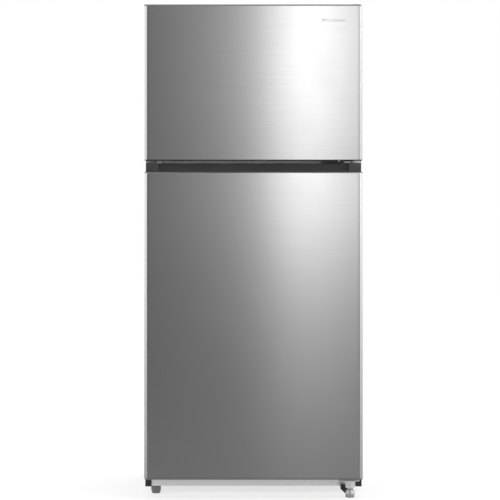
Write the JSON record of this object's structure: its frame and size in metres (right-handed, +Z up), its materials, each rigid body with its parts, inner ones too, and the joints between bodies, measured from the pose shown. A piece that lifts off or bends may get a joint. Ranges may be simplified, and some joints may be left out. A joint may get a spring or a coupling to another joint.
{
  "type": "top freezer refrigerator",
  "caption": "Free-standing top freezer refrigerator with brushed steel doors hinged on the right, a recessed handle between the doors, shelves, crisper drawers and a rear machine bay.",
  "frame": {"origin": "on the floor under the middle of the whole object", "axes": "+X right, +Y back towards the wall, +Z up; the doors face -Y"},
  "size_m": [0.75, 0.736, 1.6975],
  "materials": {
    "stainless_steel": "satin",
    "case_paint": "satin",
    "rail_paint": "satin",
    "plated_steel": "satin",
    "black_plastic": "matte",
    "trim_plastic": "satin",
    "foot_plastic": "matte",
    "white_plastic": "satin",
    "liner_plastic": "satin",
    "clear_plastic": "gloss",
    "shelf_glass": "gloss",
    "insulation_foam": "matte",
    "black_rubber": "matte",
    "gasket_rubber": "matte",
    "compressor_paint": "satin",
    "copper": "satin",
    "coil_aluminium": "satin"
  },
  "bodies": {
    "cabinet": {"outer_case": "case_paint", "rear_panel": "case_paint", "cabinet_foam": "insulation_foam", "freezer_liner": "liner_plastic", "fridge_liner": "liner_plastic", "center_rail": "rail_paint", "base_rail": "rail_paint", "corner_cap_left": "black_plastic", "corner_cap_right": "black_plastic", "base_plate": "plated_steel", "rear_spacer_left": "black_plastic", "rear_spacer_right": "black_plastic", "control_board_cover": "case_paint", "cord_gland": "black_rubber", "compressor": "compressor_paint", "compressor_relay_cover": "black_plastic", "refrigerant_pipe": "copper", "drip_pan": "black_plastic", "machine_cover": "plated_steel", "top_hinge_bracket": "plated_steel", "top_hinge_cover": "black_plastic", "middle_hinge_bracket": "plated_steel", "bottom_hinge_bracket": "plated_steel", "roller_axle_left": "plated_steel", "roller_axle_right": "plated_steel", "freezer_back_panel": "liner_plastic", "evaporator": "coil_aluminium", "fan_motor": "black_plastic", "freezer_shelf": "white_plastic", "duct_panel": "white_plastic", "control_housing": "white_plastic", "light_cover": "clear_plastic", "shelf_upper": "shelf_glass", "shelf_lower": "shelf_glass", "crisper_cover": "shelf_glass"},
    "freezer_door": {"freezer_door_skin": "stainless_steel", "freezer_door_top_cap": "trim_plastic", "freezer_door_bottom_cap": "black_plastic", "freezer_door_foam": "insulation_foam", "freezer_door_liner": "liner_plastic", "freezer_door_gasket": "gasket_rubber", "freezer_door_bin_lower": "clear_plastic", "freezer_door_bin_upper": "clear_plastic"},
    "fridge_door": {"fridge_door_skin": "stainless_steel", "fridge_door_handle_cap": "black_plastic", "fridge_door_bottom_cap": "black_plastic", "fridge_door_foam": "insulation_foam", "fridge_door_liner": "liner_plastic", "fridge_door_gasket": "gasket_rubber", "fridge_door_bin_1": "clear_plastic", "fridge_door_bin_2": "clear_plastic", "fridge_door_bin_3": "clear_plastic"},
    "crisper_left": {"crisper_drawer_left": "clear_plastic"},
    "crisper_right": {"crisper_drawer_right": "clear_plastic"},
    "knob": {"temperature_knob": "foot_plastic"},
    "fan": {"fan_blade": "white_plastic"},
    "left_foot": {"foot_left": "foot_plastic"},
    "right_foot": {"foot_right": "foot_plastic"},
    "left_roller": {"roller_left": "black_plastic"},
    "right_roller": {"roller_right": "black_plastic"}
  },
  "joints": [
    {"name": "freezer_door_hinge", "type": "hinge", "parent": "cabinet", "child": "freezer_door", "pos_m": [0.351, -0.336, 1.425], "axis": [0, 0, 1], "range_deg": [0, 130]},
    {"name": "fridge_door_hinge", "type": "hinge", "parent": "cabinet", "child": "fridge_door", "pos_m": [0.351, -0.336, 0.61], "axis": [0, 0, 1], "range_deg": [0, 130]},
    {"name": "crisper_left_slide", "type": "slide", "parent": "cabinet", "child": "crisper_left", "axis": [0, -1, 0], "range_m": [0, 0.2202]},
    {"name": "crisper_right_slide", "type": "slide", "parent": "cabinet", "child": "crisper_right", "axis": [0, -1, 0], "range_m": [0, 0.2202]},
    {"name": "temperature_knob_turn", "type": "hinge", "parent": "cabinet", "child": "knob", "pos_m": [-0.06, -0.15, 1.106], "axis": [0, 1, 0], "range_deg": [-150, 150]},
    {"name": "evaporator_fan_spin", "type": "hinge", "parent": "cabinet", "child": "fan", "pos_m": [0, 0.2475, 1.5], "axis": [0, 1, 0], "continuous": true},
    {"name": "foot_left_turn", "type": "hinge", "parent": "cabinet", "child": "left_foot", "pos_m": [-0.342, -0.213, 0.02], "axis": [0, 0, 1], "range_deg": [-180, 180]},
    {"name": "foot_right_turn", "type": "hinge", "parent": "cabinet", "child": "right_foot", "pos_m": [0.333, -0.32, 0.02], "axis": [0, 0, 1], "range_deg": [-180, 180]},
    {"name": "roller_left_spin", "type": "hinge", "parent": "cabinet", "child": "left_roller", "pos_m": [-0.33, 0.3, 0.018], "axis": [1, 0, 0], "continuous": true},
    {"name": "roller_right_spin", "type": "hinge", "parent": "cabinet", "child": "right_roller", "pos_m": [0.33, 0.3, 0.018], "axis": [1, 0, 0], "continuous": true}
  ],
  "couplings": [
    {"joint": "crisper_left_slide", "follows": "fridge_door_hinge", "m_per_rad": 0.097},
    {"joint": "crisper_right_slide", "follows": "fridge_door_hinge", "m_per_rad": 0.097}
  ]
}
